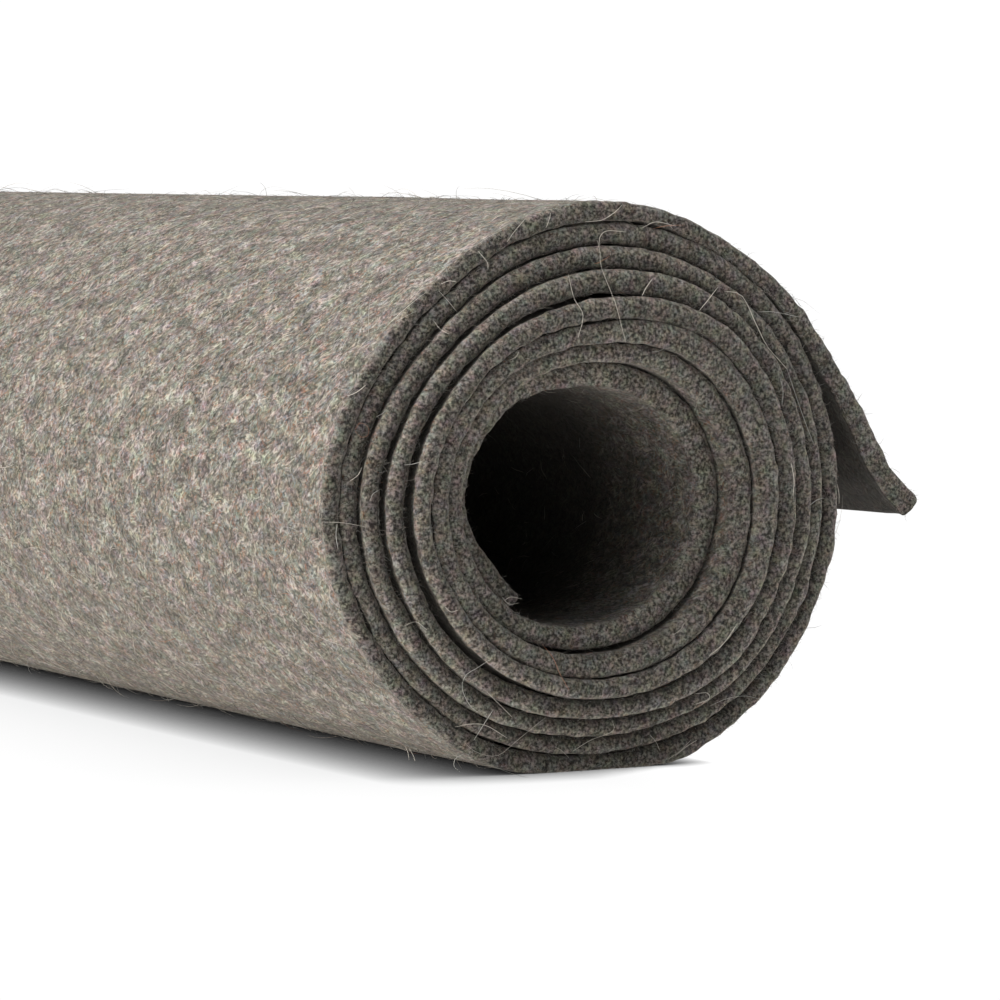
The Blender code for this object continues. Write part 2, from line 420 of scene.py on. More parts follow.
def sheet_surface():
    """Rings of the profile along s, wound up, and drawn thinner by a quarter circle at both ends.

    Nothing reaches below the surface that the roll lies on, at a height of 0."""
    end_rows = np.array(END_ROWS_MM) * MM
    middle_rows = np.linspace(end_rows[-1], LENGTH - end_rows[-1], LENGTH_STEPS)
    s = np.concatenate([end_rows[:-1], middle_rows, (LENGTH - end_rows[:-1])[::-1]])[:, None]
    from_end = np.clip(np.minimum(s, LENGTH - s) / end_rows[-1], 0, 1)
    fullness = END_FULLNESS + (1 - END_FULLNESS) * np.sqrt(1 - (1 - from_end) ** 2)
    deep = 0.5 + (profile_deep - 0.5) * fullness

    side = np.sign(profile_w)
    around = round_profile(s)
    at_cut = np.clip(1 - (WIDTH / 2 - np.abs(profile_w)) / CUT_REACH, 0, 1)
    wander = random_waves(s, side * CUTS_APART, CUT_WANDER, seed=1)
    bunches = random_waves(s, around[:, :-1], CUT_BUNCHES, seed=2)
    w = profile_w + side * (wander + bunches) * at_cut
    fluff = random_waves(s, around[:, :-1], FACE_FLUFF, seed=3)
    flare = CUT_FLARE[0] + random_waves(s, around[:, :-1], CUT_FLARE, seed=4)
    face = np.sign(0.5 - profile_deep) * (np.abs(0.5 - profile_deep) > FACE_START)
    lift = face * (fluff + flare * at_cut)
    cut = np.maximum(at_cut ** 2, 1 - from_end)
    places = wound(s, w, deep, lift)
    places[..., 2] = np.maximum(places[..., 2], 0.0)
    return s, around, places, np.broadcast_to(cut, lift.shape)


def end_rungs(columns):
    """The profile's points in pairs, an outer one and the inner one under it, near cut first."""
    start = columns - CUT_POINTS // 2
    outer = (start + np.arange(columns // 2)) % columns
    inner = (start - 1 - np.arange(columns // 2)) % columns
    return outer, inner


def build_sheet():
    """The rings, their quads, the rungs, the attribute cut, the attribute of painted shade and highlight, and
    the UV.
    """
    s, around, places, cut = sheet_surface()
    rows, columns = places.shape[:2]
    outer, inner = end_rungs(columns)
    first = np.stack([outer[:-1], inner[:-1], inner[1:], outer[1:]], axis=1)
    last = first[:, ::-1]
    last_ring = (rows - 1) * columns
    faces = np.concatenate([quads_between_rings(rows, columns), first, last + last_ring])
    piece = new_piece("felt_sheet", places.reshape(-1, 3), faces)
    for name, values in (("cut", cut), ("sheltered", sheltered(s))):
        attribute = piece.data.attributes.new(name, "FLOAT", "POINT")
        attribute.data.foreach_set("value", values.astype(np.float32).ravel())

    grid = np.stack([np.broadcast_to(s, around.shape), around], axis=-1)
    corners = [grid[:-1, :-1], grid[:-1, 1:], grid[1:, 1:], grid[1:, :-1]]
    uv = [np.stack(corners, axis=2).reshape(-1, 2)]
    for rungs, start, way in ((first, 0.0, -1), (last, LENGTH, 1)):
        across = start + way * profile_deep[rungs] * PRESSED_THICKNESS
        uv.append(np.stack([across, profile_w[rungs] - profile_w[0]], axis=-1).reshape(-1, 2))
    cloth = piece.data.uv_layers.new(name="cloth")
    cloth.data.foreach_set("uv", np.concatenate(uv).astype(np.float32).ravel())
    return piece


felt_sheet = build_sheet()
print("far end of the sheet at y =", round(max(v.co.y for v in felt_sheet.data.vertices), 4))

# %% [markdown]
# ## Colours of undyed wool
#
# This felt is pressed from undyed fleeces of several colours. None is a grey: it is cream, fawn,
# rust, blue-grey and near-black fibres, and the eye mixes them. So the finish is built the same way,
# from single fibres with a colour each over a speckled ground, and nothing has the average colour.


# %% Colours and node helpers
def linear_colour(code):
    """sRGB hex to linear: the dark end is a straight line, and the rest a power of 2.4."""
    value = np.array([int(code[start:start + 2], 16) for start in (1, 3, 5)]) / 255
    linear = np.where(value <= 0.04045, value / 12.92, ((value + 0.055) / 1.055) ** 2.4)
    return (*linear.tolist(), 1.0)


def add_node(tree, kind, settings, inputs):
    """Adds a node, sets its settings, and sets or links its inputs by name or number."""
    node = tree.nodes.new("ShaderNode" + kind)
    for name, value in settings.items():
        setattr(node, name, value)
    for name, value in inputs.items():
        if isinstance(value, bpy.types.NodeSocket):
            tree.links.new(value, node.inputs[name])
        else:
            node.inputs[name].default_value = value
    return node


TIMES = {"operation": "MULTIPLY"}
TIMES_PLUS = {"operation": "MULTIPLY_ADD"}  # input 0 times input 1, plus input 2
SMOOTH = {"interpolation_type": "SMOOTHSTEP"}
FLAT = {"noise_dimensions": "2D"}


def new_material(name):
    """(an empty material, the function that adds a node to it)"""
    material = bpy.data.materials.new(name)
    material.use_nodes = True
    material.node_tree.nodes.clear()
    return material, functools.partial(add_node, material.node_tree)


WOOLS = {
    # random number from which the wool is picked for the mat, and its colour
    "near-black": (0.00, "#2B2A26"),
    "dark olive": (0.10, "#45423A"),
    "brown": (0.24, "#5B5047"),
    "grey": (0.36, "#67665F"),
    "fawn": (0.50, "#7F7367"),
    "blue-grey": (0.63, "#6F7878"),
    "rust": (0.74, "#875A40"),
    "pale grey": (0.81, "#9A9790"),
    "cream": (0.92, "#B5ADA1"),
}
print("cream in linear light:", np.round(linear_colour(WOOLS["cream"][1]), 3))

# %% [markdown]
# ## The mat of fibres
#
# Pressed felt is a mat: short fibres lie over each other in every direction. A noise texture makes
# clouds, not fibres, so each layer here starts from a Voronoi texture. Its cells are long and thin,
# and each holds one fibre: the distance from the cell's middle, measured across a line with a random
# lean and bow, says whether a point is on the fibre. The cell's random colour picks its wool. Six
# layers in six directions cover each other, and their heights drive the bump. A real fibre is
# 0.04 mm thick, too fine for the picture, so each drawn one stands for a small bundle.

# %% One layer of fibres
FIBRE_LAYERS = (
    # heading deg from the winding direction, cell length mm, cell width mm, fibre width mm
    (-50, 2.2, 0.64, 0.32),
    (78, 1.9, 0.62, 0.30),
    (14, 2.3, 0.66, 0.32),
    (-22, 2.3, 0.68, 0.30),
    (48, 2.1, 0.66, 0.30),
    (26, 4.2, 1.50, 0.26),
)
LEAN = 1.0  # random slope of a fibre in its cell, in cell widths per cell length
BOW = 0.8  # random bend of a fibre, in cell widths at one cell length from its middle
LAYER_SHIFT = (17.3, 31.7)  # cells between one layer's pattern and the next one's


def shown_within(add, offset, near, far):
    """From 1 where the offset is less than near, to either side, down to 0 where it is far."""
    distance = add("Math", {"operation": "ABSOLUTE"}, {0: offset})
    return add("MapRange", SMOOTH, {
        "Value": distance.outputs[0], "From Min": near, "From Max": far,
        "To Min": 1.0, "To Max": 0.0}).outputs[0]


def fibre_layer(add, place_mm, number):
    """(how much of a fibre covers this point, its random number) for one layer of the mat.

    Across the fibre, a point's distance is y + lean * x + bow * x^2, in cells from the middle."""
    heading, cell_length, cell_width, thickness = FIBRE_LAYERS[number]
    turned = add("VectorRotate", {"rotation_type": "Z_AXIS"}, {
        "Vector": place_mm, "Angle": -math.radians(heading)})
    scale = (1 / cell_length, 1 / cell_width, 0)
    shift = (number * LAYER_SHIFT[0], number * LAYER_SHIFT[1], 0)
    cells = add("VectorMath", TIMES_PLUS, {0: turned.outputs[0], 1: scale, 2: shift})
    voronoi = add("TexVoronoi", {"voronoi_dimensions": "2D"}, {"Vector": cells.outputs[0], "Scale": 1.0})
    middle = voronoi.outputs["Position"]
    offset = add("VectorMath", {"operation": "SUBTRACT"}, {0: cells.outputs[0], 1: middle})
    part = add("SeparateXYZ", {}, {0: offset.outputs[0]})
    chance = add("SeparateColor", {}, {0: voronoi.outputs["Color"]})
    x, y = part.outputs[0], part.outputs[1]
    lean = add("Math", TIMES_PLUS, {0: chance.outputs[0], 1: 2 * LEAN, 2: -LEAN})
    bow = add("Math", TIMES_PLUS, {0: chance.outputs[1], 1: 2 * BOW, 2: -BOW})
    slope = add("Math", TIMES_PLUS, {0: bow.outputs[0], 1: x, 2: lean.outputs[0]})
    across = add("Math", TIMES_PLUS, {0: slope.outputs[0], 1: x, 2: y})
    half = thickness / cell_width / 2
    body = shown_within(add, across.outputs[0], 0.3 * half, 1.5 * half)
    ends = shown_within(add, x, 0.30, 0.52)
    cover = add("Math", TIMES, {0: body, 1: ends})
    return cover.outputs[0], chance.outputs[2]


print("layers of fibres:", len(FIBRE_LAYERS))

# %% The mat of all layers
SPECKS_PER_MM = 1.25
# The ground under the fibres: its dark end is partly mixed wool and partly painted shade between the fibres.
GROUND_DARK = (0.35, "#3B3833")  # noise value and colour
GROUND_PALE = (0.63, "#968D81")
FACE_FIBRES = 0.55  # how strongly a fibre shows on a face
CUT_FIBRES = 0.45  # and on a cut
FIBRE_HEIGHT = 0.6  # of a fibre over its layer, for the bump
LAYER_HEIGHT = 0.05  # of a layer over the one before


def wool_ramp(add, pick):
    """A colour ramp with one flat step for each wool, read at a random number."""
    ramp = add("ValToRGB", {}, {"Fac": pick})
    steps = ramp.color_ramp
    steps.interpolation = "CONSTANT"
    for number, (position, code) in enumerate(WOOLS.values()):
        step = steps.elements[number] if number < 2 else steps.elements.new(0.99)
        step.position = position
        step.color = linear_colour(code)
    return ramp.outputs["Color"]


def specks(add, place, settings, per_mm, detail, roughness, dark, pale):
    """(colour, noise): noise with this many specks a millimetre, read as dark to pale felt."""
    noise = add("TexNoise", settings, {
        "Vector": place, "Scale": per_mm, "Detail": detail, "Roughness": roughness})
    ramp = add("ValToRGB", {}, {"Fac": noise.outputs["Fac"]})
    for element, (position, code) in zip(ramp.color_ramp.elements, (dark, pale)):
        element.position = position
        element.color = linear_colour(code)
    return ramp.outputs["Color"], noise.outputs["Fac"]


def fibre_mat(add, place_mm, tint, cut):
    """(colour, height) of the fibre layers, one over the other, on a ground of fine specks.

    Each wool is picked by its fibre's random number plus the tint of its tuft."""
    colour, height = specks(add, place_mm, FLAT, SPECKS_PER_MM, 3.0, 0.62, GROUND_DARK, GROUND_PALE)
    lying = add("MapRange", {}, {"Value": cut, "To Min": FACE_FIBRES, "To Max": CUT_FIBRES})
    for number in range(len(FIBRE_LAYERS)):
        cover, pick = fibre_layer(add, place_mm, number)
        shifted = add("Math", {"operation": "ADD", "use_clamp": True}, {0: pick, 1: tint})
        wool = wool_ramp(add, shifted.outputs[0])
        strength = add("Math", TIMES, {0: cover, 1: lying.outputs[0]})
        mixed = add("Mix", {"data_type": "RGBA"}, {0: strength.outputs[0], 6: colour, 7: wool})
        lifted = add("Math", TIMES_PLUS, {0: cover, 1: FIBRE_HEIGHT, 2: number * LAYER_HEIGHT})
        tallest = add("Math", {"operation": "MAXIMUM"}, {0: height, 1: lifted.outputs[0]})
        colour, height = mixed.outputs[2], tallest.outputs[0]
    return colour, height


print("wools to pick from:", len(WOOLS))

# %% [markdown]
# A cut shows most of its fibres end on, as fine specks that are the same in every direction, so these
# are read from the place in the solid and not from the flat cloth. Less light comes back from a cut
# than from a face, partly for its fibre ends and partly as painted shade. Least comes back from
# between two turns and down the hole, which is painted shade, and the rims of turns that stand out
# get a painted highlight.

# %% The cuts and the painted shade
TIPS_PER_MM = 1.7
TIP_DARK = (0.40, "#2C2A27")
TIP_PALE = (0.64, "#B0A89B")
TIP_SHARE = 0.7  # how much of a cut's colour is fibre tips
CUT_SHADE = 0.68  # share of the light that a cut sends back, against the felt's face: partly its fibre ends, partly painted shade
SHELTERED_SHADE = 0.12  # and the painted shade on the felt between two turns and down the hole


def tips_on_cuts(add, colour, cut):
    """The colour, mixed on the cuts with specks of fibre tips."""
    solid_place = add("TexCoord", {}, {}).outputs["Object"]
    tips = specks(add, solid_place, {}, TIPS_PER_MM / MM, 2.0, 0.6, TIP_DARK, TIP_PALE)[0]
    end_on = add("Math", TIMES, {0: cut, 1: TIP_SHARE})
    return add("Mix", {"data_type": "RGBA"}, {0: end_on.outputs[0], 6: colour, 7: tips}).outputs[2]


def light_kept(add, cut):
    """Share of the light that comes back: from 1 to CUT_SHADE on the cuts, partly painted shade, times 1 to
    SHELTERED_SHADE as painted shade, and over 1 on a painted rim highlight.
    """
    kept = add("MapRange", {}, {"Value": cut, "To Min": 1.0, "To Max": CUT_SHADE})
    painted_shading_node = add("Attribute", {"attribute_name": "sheltered"}, {})
    lit = add("MapRange", {"clamp": False}, {
        "Value": painted_shading_node.outputs["Fac"], "To Min": 1.0, "To Max": SHELTERED_SHADE})
    return add("Math", TIMES, {0: kept.outputs[0], 1: lit.outputs[0]}).outputs[0]


# %% The felt's material
DRIFTS_PER_MM = 0.16  # how often the fibres' lie changes
DRIFT_MM = 3.0  # and how far it carries them off
TUFTS_PER_MM = 0.20  # tufts of one fleece are 3 to 10 mm across
PORES_PER_MM = 1.0
PORE_NOISE = (0.36, 0.48)  # a pore is where the noise is below the first value
PORE_LIGHT = (0.6, 1.04)  # painted shade: light that comes back in a pore and outside it
CASTS_PER_MM = 0.34

# What a noise from 0 to 1 is multiplied by, and what is added to it then
TUFT_TINT = (0.95, -0.46)
TUFT_DEPTH = (0.7, 0.68)
CAST = ((0.48, 0.44, 0.44), (0.765, 0.78, 0.78))


def felt_material():
    """Wool felt: pressed, not woven. Matt, with a sheen from the fibre ends that stand up."""
    material, add = new_material("wool felt")
    cloth = add("UVMap", {"uv_map": "cloth"}, {})
    cut = add("Attribute", {"attribute_name": "cut"}, {}).outputs["Fac"]
    in_mm = add("VectorMath", {"operation": "SCALE"}, {0: cloth.outputs[0], "Scale": 1 / MM}).outputs[0]
    drift = add("TexNoise", FLAT, {"Vector": in_mm, "Scale": DRIFTS_PER_MM, "Detail": 2.0})
    bent = add("VectorMath", TIMES_PLUS, {
        0: drift.outputs["Color"], 1: (DRIFT_MM, DRIFT_MM, 0.0), 2: in_mm}).outputs[0]

    # Tufts tip the random choice to darker or paler wools, and are darker or paler as a whole too.
    tufts = add("TexNoise", FLAT, {"Vector": bent, "Scale": TUFTS_PER_MM, "Detail": 4.0, "Roughness": 0.65})
    tint = add("Math", TIMES_PLUS, {0: tufts.outputs["Fac"], 1: TUFT_TINT[0], 2: TUFT_TINT[1]})
    colour, height = fibre_mat(add, bent, tint.outputs[0], cut)
    colour = tips_on_cuts(add, colour, cut)
    depth = add("Math", TIMES_PLUS, {0: tufts.outputs["Fac"], 1: TUFT_DEPTH[0], 2: TUFT_DEPTH[1]})
    mottled = add("VectorMath", {"operation": "SCALE"}, {0: colour, "Scale": depth.outputs[0]})

    # Pores between the bundles are darkened, as painted shade in these hollows, and each fleece has a faint
    # cast of its own.
    pores = add("TexNoise", FLAT, {"Vector": in_mm, "Scale": PORES_PER_MM, "Detail": 1.0, "Roughness": 0.5})
    open_pore = add("MapRange", SMOOTH, {
        "Value": pores.outputs["Fac"], "From Min": PORE_NOISE[0], "From Max": PORE_NOISE[1],
        "To Min": PORE_LIGHT[0], "To Max": PORE_LIGHT[1]})
    casts = add("TexNoise", FLAT, {"Vector": in_mm, "Scale": CASTS_PER_MM, "Detail": 2.0, "Roughness": 0.7})
    cast = add("VectorMath", TIMES_PLUS, {0: casts.outputs["Color"], 1: CAST[0], 2: CAST[1]})
    tinted = add("VectorMath", TIMES, {0: mottled.outputs[0], 1: cast.outputs[0]})
    # Painted shade: the pores, the cuts in part, and the painted shade and highlight of the turns.
    share = add("Math", TIMES, {0: open_pore.outputs[0], 1: light_kept(add, cut)})
    shaded = add("VectorMath", {"operation": "SCALE"}, {0: tinted.outputs[0], "Scale": share.outputs[0]})
    relief = add("Math", TIMES, {0: height, 1: open_pore.outputs[0]})
    bump = add("Bump", {}, {"Strength": 0.6, "Distance": 0.2 * MM, "Height": relief.outputs[0]})
    shader = add("BsdfPrincipled", {}, {
        "Base Color": shaded.outputs[0], "Roughness": 0.92, "Normal": bump.outputs[0],
        "Specular IOR Level": 0.25, "Sheen Weight": 0.25, "Sheen Roughness": 0.45,
        "Sheen Tint": linear_colour("#D9CFC2"),
    })
    add("OutputMaterial", {}, {"Surface": shader.outputs[0]})
    return material


felt_sheet.data.materials.append(felt_material())
print("nodes in the felt's material:", len(felt_sheet.data.materials[0].node_tree.nodes))

# %% [markdown]
# ## Loose fibres
#
# What tells felt from painted card is its outline: a thin haze of fibres, and a few long hairs that
# have worked loose. A hair system would draw them well, but it isn't a mesh and can't leave Blender.
# So each fibre is a tiny three-sided tube along a curve. All of a piece's fibres are computed
# together, as one array of centre lines.


# %% Fibre tubes
FUZZ_WOOLS = {"cream": 0.34, "pale grey": 0.26, "fawn": 0.16, "grey": 0.12, "rust": 0.04, "near-black": 0.08}


def rings_round(centre, beside, girth):
    """Rings of three points round centre lines. The first is square to the line and to beside."""
    tangent = np.gradient(centre, axis=1)
    across = unit(np.cross(tangent, beside))
    over = unit(np.cross(tangent, across))
    angles = (np.arange(3) * 2 * math.pi / 3)[:, None]
    return centre[:, :, None] + girth[..., None] * (
        across[:, :, None] * np.cos(angles) + over[:, :, None] * np.sin(angles))


def fibre_tubes(name, root, heading, lift, side, length, radius, rise, bow, points, rng, brightest=1.0):
    """Tubes along root + length * (t * heading + (rise * t - fall * t^2) * lift + bow * t^2 * side).

    The fall brings a fibre back down towards the cloth, and each tube tapers to a fine tip."""
    t = np.linspace(0, 1, points)[None, :, None]
    fall = rise * rng.uniform(0.3, 1.0, rise.shape)
    curve = heading[:, None] * t + lift[:, None] * (rise[:, None, None] * t - fall[:, None, None] * t ** 2)
    curve += side[:, None] * bow[:, None, None] * t ** 2
    centre = root[:, None] + length[:, None, None] * curve
    girth = radius[:, None, None] * (1 - 0.75 * t ** 2)
    rings = rings_round(centre, lift[:, None] + 0.3 * side[:, None], girth)
    return tube_piece(name, rings, rng, brightest=brightest)


def tube_piece(name, rings, rng, wools=FUZZ_WOOLS, brightest=1.0):
    """Joins rings (fibre, point, corner, xyz) into closed tubes and gives each fibre its wool.

    What would reach below the surface that the roll lies on is lifted onto it."""
    count, points, corners = rings.shape[:3]
    rings[..., 2] = np.maximum(rings[..., 2], 0.0)
    quads = quads_between_rings(points, corners)
    walls = np.concatenate([quads[:, [0, 1, 2]], quads[:, [0, 2, 3]]])
    caps = np.array([[2, 1, 0], np.arange(3) + (points - 1) * corners])
    tube = np.concatenate([walls, caps])
    faces = (tube[None] + np.arange(count)[:, None, None] * points * corners).reshape(-1, 3)
    piece = new_piece(name, rings.reshape(-1, 3), faces)
    palette = np.array([linear_colour(WOOLS[wool][1]) for wool in wools])
    colours = palette[rng.choice(len(wools), count, p=list(wools.values()))]
    colours[:, :3] *= rng.uniform(0.6 * brightest, brightest, (count, 1))
    wool = piece.data.color_attributes.new("wool", "FLOAT_COLOR", "POINT")
    wool.data.foreach_set("color", np.repeat(colours, points * corners, axis=0).astype(np.float32).ravel())
    piece.data.materials.append(loose_wool)
    return piece


def loose_wool_material():
    """Single wool fibres: scaly and slightly waxy, so a little glossier than the pressed felt."""
    material, add = new_material("loose wool fibres")
    wool = add("Attribute", {"attribute_name": "wool"}, {})
    shader = add("BsdfPrincipled", {}, {
        "Base Color": wool.outputs["Color"], "Roughness": 0.7, "Specular IOR Level": 0.3,
        "Sheen Weight": 0.2, "Sheen Roughness": 0.5,
    })
    add("OutputMaterial", {}, {"Surface": shader.outputs[0]})
    return material


loose_wool = loose_wool_material()


# %% Fuzz on the faces
FACE_ROOT = 0.1 * MM  # how deep a fibre's root is in the face
FACE_FIBRE_RADII = (0.03 * MM, 0.055 * MM)


def surface_fuzz(name, count, s_range, length, points, seed, deep=0.0, brightest=1.0):
    """Fibres of about this length that lie on a face in any heading and arch a little off it."""
    rng = np.random.default_rng(seed)
    s = rng.uniform(*s_range, count)
    w = rng.uniform(-WIDTH / 2, WIDTH / 2, count)
    forward, inward = directions_at(s)
    outward = -inward if deep == 0.0 else inward
    angle = rng.uniform(0, 2 * math.pi, count)[:, None]
    width_way = np.array([0.0, 1.0, 0.0])
    heading = forward * np.cos(angle) + width_way * np.sin(angle)
    side = -forward * np.sin(angle) + width_way * np.cos(angle)
    length = rng.gamma(4.0, length / 4, count)
    root = wound(s, w, deep) - outward * FACE_ROOT
    return fibre_tubes(
        name, root, heading, outward, side, length, rng.uniform(*FACE_FIBRE_RADII, count),
        rng.uniform(0.1, 0.6, count), rng.normal(0, 0.25, count), points, rng, brightest)


outer_turn = (0.0, float(path["length"][path["turns"] > 1.02][0]))
inner_turn = (LENGTH - 160 * MM, LENGTH)
# The long ones are coarse guard hairs, which are paler than the felt under them.
fuzz = [
    surface_fuzz("outer_fuzz", 14000, outer_turn, 2.6 * MM, 3, seed=11),
    surface_fuzz("long_fuzz", 2600, outer_turn, 6.5 * MM, 6, seed=13, brightest=1.7),
    surface_fuzz("inner_fuzz", 2400, inner_turn, 2.6 * MM, 3, seed=12, deep=1.0),
]


# %% Fuzz along the cut edges
CUT_ROOT = 0.5 * MM
CUT_FIBRE_RADII = (0.02 * MM, 0.036 * MM)
CUT_FIBRE_LENGTH = 0.81 * MM
AT_CORNERS = (0.06, 0.94)  # how deep in the cloth's thickness a cut's two corners are
CORNER_FIBRES = 0.6  # share of the fibres that stand there


def edge_fuzz(name, count, end, seed):
    """Fibres that stand out of a cut: end is -1 for the near cut and 1 for the far one."""
    rng = np.random.default_rng(seed)
    s = rng.uniform(0, LENGTH, count)
    at_corner = rng.random(count) < CORNER_FIBRES
    deep = np.where(at_corner, rng.choice(AT_CORNERS, count), rng.random(count))
    forward, inward = directions_at(s)
    out = np.array([0.0, float(end), 0.0])
    angle = rng.normal(0, 1.1, count)[:, None]
    towards_face = np.sign(deep - 0.5)[:, None] * inward
    tilt = rng.uniform(-0.3, 0.8, (count, 1))
    heading = unit(forward * np.sin(angle) + out * np.cos(angle) + towards_face * tilt)
    root = wound(s, end * (WIDTH / 2 - CUT_ROOT), deep)
    length = rng.gamma(3.0, CUT_FIBRE_LENGTH / 3.0, count)
    side = np.cross(heading, inward)
    return fibre_tubes(
        name, root, heading, towards_face, side, length, rng.uniform(*CUT_FIBRE_RADII, count),
        rng.uniform(-0.3, 0.6, count), rng.normal(0, 0.35, count), 3, rng)


fuzz.append(edge_fuzz("near_edge_fuzz", 13500, -1, seed=21))
fuzz.append(edge_fuzz("far_edge_fuzz", 7000, 1, seed=22))

# %% [markdown]
# ## Stray hairs on the near end
#
# A few coarse pale hairs lie across the dark near end, and the eye goes to them first. They are put
# where the photograph has them: each is a list of places in its pixels, and a straight line from the
# camera through each pixel is followed until it meets the stepped face. There a hair is a thing like
# any other, which lies on the turns as seen from any side.

# %% Their places in the photograph
IMAGE_SIZE = 1000
STRAY_HAIRS_PX = (
    # each row is one hair: across, down, across, down from the photograph's upper left corner
    (597, 240, 600, 251, 601, 266, 611, 292, 616, 305, 621, 324, 626, 343),
    (599, 247, 600, 237, 607, 231, 626, 232),
    (585, 222, 602, 220, 615, 212, 622, 205),
    (642, 228, 656, 222, 675, 226),
    (568, 273, 574, 298, 583, 315, 578, 338),
    (699, 311, 708, 300, 718, 287),
    (724, 291, 742, 296, 756, 324, 767, 346, 779, 360, 787, 369),
    (787, 369, 794, 390, 804, 419, 814, 445),
    (642, 296, 646, 288, 653, 278),
    (652, 352, 659, 351, 665, 348),
    (757, 312, 774, 312, 799, 317),
    (780, 377, 783, 391, 782, 406),
    (791, 462, 794, 480, 793, 496),
    (810, 505, 817, 500, 824, 498),
    (837, 484, 839, 494, 839, 504),
    (525, 219, 514, 232, 507, 242),
    (551, 212, 549, 220, 546, 228),
    (478, 251, 487, 262, 488, 269),
    (439, 291, 448, 301, 457, 312),
    (434, 321, 440, 329, 449, 334),
    (348, 396, 357, 392, 366, 385),
    (441, 284, 449, 281, 457, 282),
    (510, 360, 516, 357, 519, 351),
    (355, 430, 360, 423, 368, 427, 368, 435, 361, 437, 355, 431),
    (388, 408, 383, 413, 376, 417),
    (362, 467, 358, 475, 350, 481),
    (404, 465, 413, 464, 423, 461),
    (379, 490, 373, 494, 370, 501),
    (322, 522, 344, 523, 366, 527),
    (337, 524, 336, 536, 338, 549),
    (445, 607, 451, 612, 458, 610),
    (404, 626, 416, 622, 427, 630),
    (502, 597, 509, 604, 519, 603),
    (505, 600, 511, 597, 522, 599),
    (491, 659, 477, 668, 466, 675, 462, 686, 465, 697, 472, 708, 481, 714),
    (474, 740, 484, 724, 493, 710),
    (455, 727, 472, 724, 487, 726, 507, 738),
    (465, 743, 474, 751, 489, 756, 501, 754, 519, 739, 546, 717),
    (464, 754, 456, 758, 454, 766, 460, 772),
    (405, 746, 408, 753, 409, 760),
    (409, 748, 413, 755, 415, 761),
    (487, 692, 499, 704, 512, 717),
    (542, 644, 553, 658, 560, 674, 569, 690),
    (612, 720, 613, 731, 591, 740, 573, 751),
    (694, 694, 707, 693, 709, 699, 696, 704),
    (710, 706, 726, 699, 744, 696, 760, 699),
    (675, 756, 686, 747, 697, 740),
    (667, 760, 680, 751, 691, 740),
    (594, 264, 600, 262, 610, 256),
    (555, 747, 562, 751, 569, 758),
    (650, 735, 656, 742, 660, 751),
    (673, 635, 680, 630, 685, 622),
    (709, 656, 724, 643, 737, 624),
)
HAIR_POINTS = 16
HAIR_RADIUS = 0.062 * MM
HAIR_PROUD = (0.7 * MM, 1.3 * MM)  # how far in front of the cuts they lie
HAIR_WOOLS = {"cream": 0.7, "pale grey": 0.25, "rust": 0.05}
HAIR_BRIGHTEST = 2.0  # the hairs are paler than the mat's wool, and brighter still as painted light, for the light they would catch standing proud of the shaded near end


# %% Lay them on the near end
def on_near_end(pixels, proud):
    """Camera place + step * line, where a line is the view direction plus the pixel's offset.

    The step is the one at which the line meets the plane of the nearest turn's edge, proud metres
    in front of it. Which turn is nearest is worked out again at each place found, three times.
    """
    right, up, back = np.array(camera.rotation_euler.to_matrix()).T
    offset = (pixels / IMAGE_SIZE - 0.5) * SENSOR_MM / LENS_MM
    lines = offset[:, :1] * right - offset[:, 1:] * up - back
    turns = wound(path["length"], -WIDTH / 2, 0.5)
    reach = np.zeros(len(lines))
    for _ in range(3):
        step = (-WIDTH / 2 - reach - proud - CAMERA_PLACE[1]) / lines[:, 1]
        places = np.array(CAMERA_PLACE) + step[:, None] * lines
        apart = np.linalg.norm(places[:, None, ::2] - turns[None, :, ::2], axis=2)
        reach = edge_reach(path["length"][apart.argmin(axis=1)])
    return places


def stray_hairs():
    """Catmull-Rom curves through the places, in even steps, each a tube that tapers to its ends."""
    rng = np.random.default_rng(31)
    centres = []
    for pixels in STRAY_HAIRS_PX:
        places = on_near_end(np.reshape(pixels, (-1, 2)), rng.uniform(*HAIR_PROUD))
        ends = 2 * places[[0, -1]] - places[[1, -2]]
        curve = smooth_through(np.concatenate([ends[:1], places, ends[1:]]), SPAN_STEPS)
        run = np.concatenate([[0.0], np.cumsum(np.linalg.norm(np.diff(curve, axis=0), axis=1))])
        wanted = np.linspace(0, run[-1], HAIR_POINTS)
        centres.append(np.stack([np.interp(wanted, run, values) for values in curve.T], axis=1))
    t = np.linspace(-1, 1, HAIR_POINTS)[None, :, None]
    girth = HAIR_RADIUS * (1 - 0.6 * t ** 4) * rng.uniform(0.6, 1.1, (len(centres), 1, 1))
    rings = rings_round(np.array(centres), (0.0, 1.0, 0.0), girth)
    return tube_piece("stray_hairs", rings, rng, HAIR_WOOLS, HAIR_BRIGHTEST)


fuzz.append(stray_hairs())
print("hairs laid on the near end:", len(STRAY_HAIRS_PX))

# %% [markdown]
# ## Fix the pieces to the frame
#
# The sheet stands for the solid roll, which stays behind it for collision. The fuzz goes with it.

# %% Ride and replace
for piece in [felt_sheet, *fuzz]:
    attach(piece, "root")
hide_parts("felt_roll")

# %% [markdown]
# ## Floor and light
#
# The light is a soft studio light: a wide one from the left, above and a little behind, which fills
# the side and leaves the near end in shade, and a weak surround, cooler from above and darker from the
# front, so that the hole stays black. The paper under the roll is lit until it is pure white, as for a
# catalogue. A lamp that strong would wash the roll out too, so the camera sees the paper glow by
# itself, except where the roll is close above it: there the glow fades, as a painted shadow, most on
# the camera's left, where the roll overhangs the paper in the photograph.

# %% The paper
PAPER_GLOW = 1.03
PAPER_BOUNCE = 0.31
SHADE_REACH = 60 * MM
SHADE_SHARE = 0.17  # how much of the wide shade counts on the left, as a power
CONTACT_REACH = 4 * MM
LEFT_CONTACT_REACH = 14 * MM
LEFT_ENDS = (-5 * MM, 15 * MM)  # where, across the roll, the left side's shade gives way

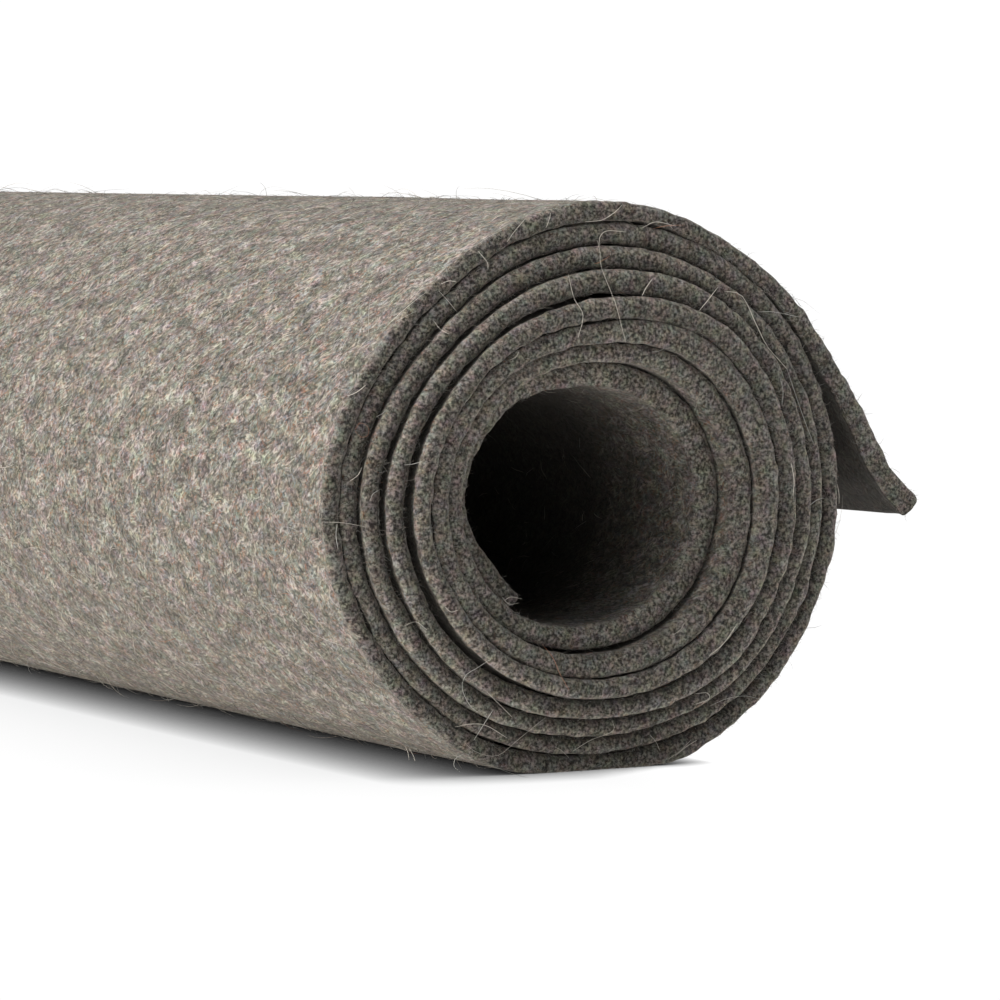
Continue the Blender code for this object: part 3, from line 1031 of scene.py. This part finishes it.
bpy.ops.mesh.primitive_plane_add(size=30)
floor = bpy.context.object
floor.name = "floor"
paper, add = new_material("white paper")
place = add("SeparateXYZ", {}, {0: add("TexCoord", {}, {}).outputs["Object"]})
on_left = {"Value": place.outputs[0], "From Min": LEFT_ENDS[0], "From Max": LEFT_ENDS[1]}
share = add("MapRange", {}, {**on_left, "To Min": SHADE_SHARE, "To Max": 0.0})
reach = add("MapRange", {}, {**on_left, "To Min": LEFT_CONTACT_REACH, "To Max": CONTACT_REACH})
# Painted shadow: the glow that the camera sees is dimmed by ambient occlusion near the roll, not by the
# lamps.
shade = add("AmbientOcclusion", {"samples": 16}, {"Distance": SHADE_REACH})
contact = add("AmbientOcclusion", {"samples": 16}, {"Distance": reach.outputs[0]})
shaded = add("Math", {"operation": "POWER"}, {0: shade.outputs["AO"], 1: share.outputs[0]})
both = add("Math", TIMES, {0: shaded.outputs[0], 1: contact.outputs["AO"]})
glow = add("Math", TIMES, {0: both.outputs[0], 1: PAPER_GLOW})
seen = add("Emission", {}, {"Strength": glow.outputs[0]})
white = add("BsdfDiffuse", {}, {"Color": linear_colour("#E6E6E5")})
bounce = add("Emission", {}, {"Strength": PAPER_BOUNCE})
lit = add("AddShader", {}, {0: white.outputs[0], 1: bounce.outputs[0]})
ray = add("LightPath", {}, {})
either = add("MixShader", {}, {0: ray.outputs["Is Camera Ray"], 1: lit.outputs[0], 2: seen.outputs[0]})
add("OutputMaterial", {}, {"Surface": either.outputs[0]})
floor.data.materials.append(paper)
print("shade on the paper reaches", SHADE_REACH, "m")

# %% The key light
KEY_FROM = (-0.62, 0.16, 0.77)
KEY_STRENGTH = 3.7
KEY_WIDTH_DEG = 42  # as wide as a large soft box close by

key_data = bpy.data.lights.new("key", "SUN")
key_data.energy = KEY_STRENGTH
key_data.color = linear_colour("#FFFCF8")[:3]
key_data.angle = math.radians(KEY_WIDTH_DEG)
key = bpy.data.objects.new("key", key_data)
level = math.hypot(*KEY_FROM[:2])
key.rotation_euler = (math.atan2(level, KEY_FROM[2]), 0, math.atan2(KEY_FROM[0], -KEY_FROM[1]))
scene.collection.objects.link(key)
print("the key light is turned by", [round(angle, 3) for angle in key.rotation_euler])

# %% The surround
SURROUND_STRENGTH = 0.60
FRONT_SHARE = 0.04  # what is left of the surround straight from the front
BACKDROP_STRENGTH = 1.05

world = bpy.data.worlds.new("pale surround")
world.use_nodes = True
world.node_tree.nodes.clear()
sky = functools.partial(add_node, world.node_tree)
ray = sky("LightPath", {}, {})
way = sky("SeparateXYZ", {}, {0: sky("TexCoord", {}, {}).outputs["Generated"]})
front = sky("MapRange", SMOOTH, {
    "Value": way.outputs[1], "From Min": -0.85, "From Max": -0.15,
    "To Min": FRONT_SHARE * SURROUND_STRENGTH, "To Max": SURROUND_STRENGTH})
above = sky("MapRange", SMOOTH, {"Value": way.outputs[2], "From Min": 0.2})
cool = sky("Mix", {"data_type": "RGBA"}, {
    0: above.outputs[0], 6: linear_colour("#FAFFF9"), 7: linear_colour("#DDEAFF")})
surround = sky("Background", {}, {"Color": cool.outputs[2], "Strength": front.outputs[0]})
backdrop = sky("Background", {}, {"Color": (1, 1, 1, 1), "Strength": BACKDROP_STRENGTH})
seen = sky("MixShader", {}, {0: ray.outputs["Is Camera Ray"], 1: surround.outputs[0], 2: backdrop.outputs[0]})
sky("OutputWorld", {}, {"Surface": seen.outputs[0]})
scene.world = world
scene.view_settings.view_transform = "Standard"
print("strength of the surround:", SURROUND_STRENGTH)
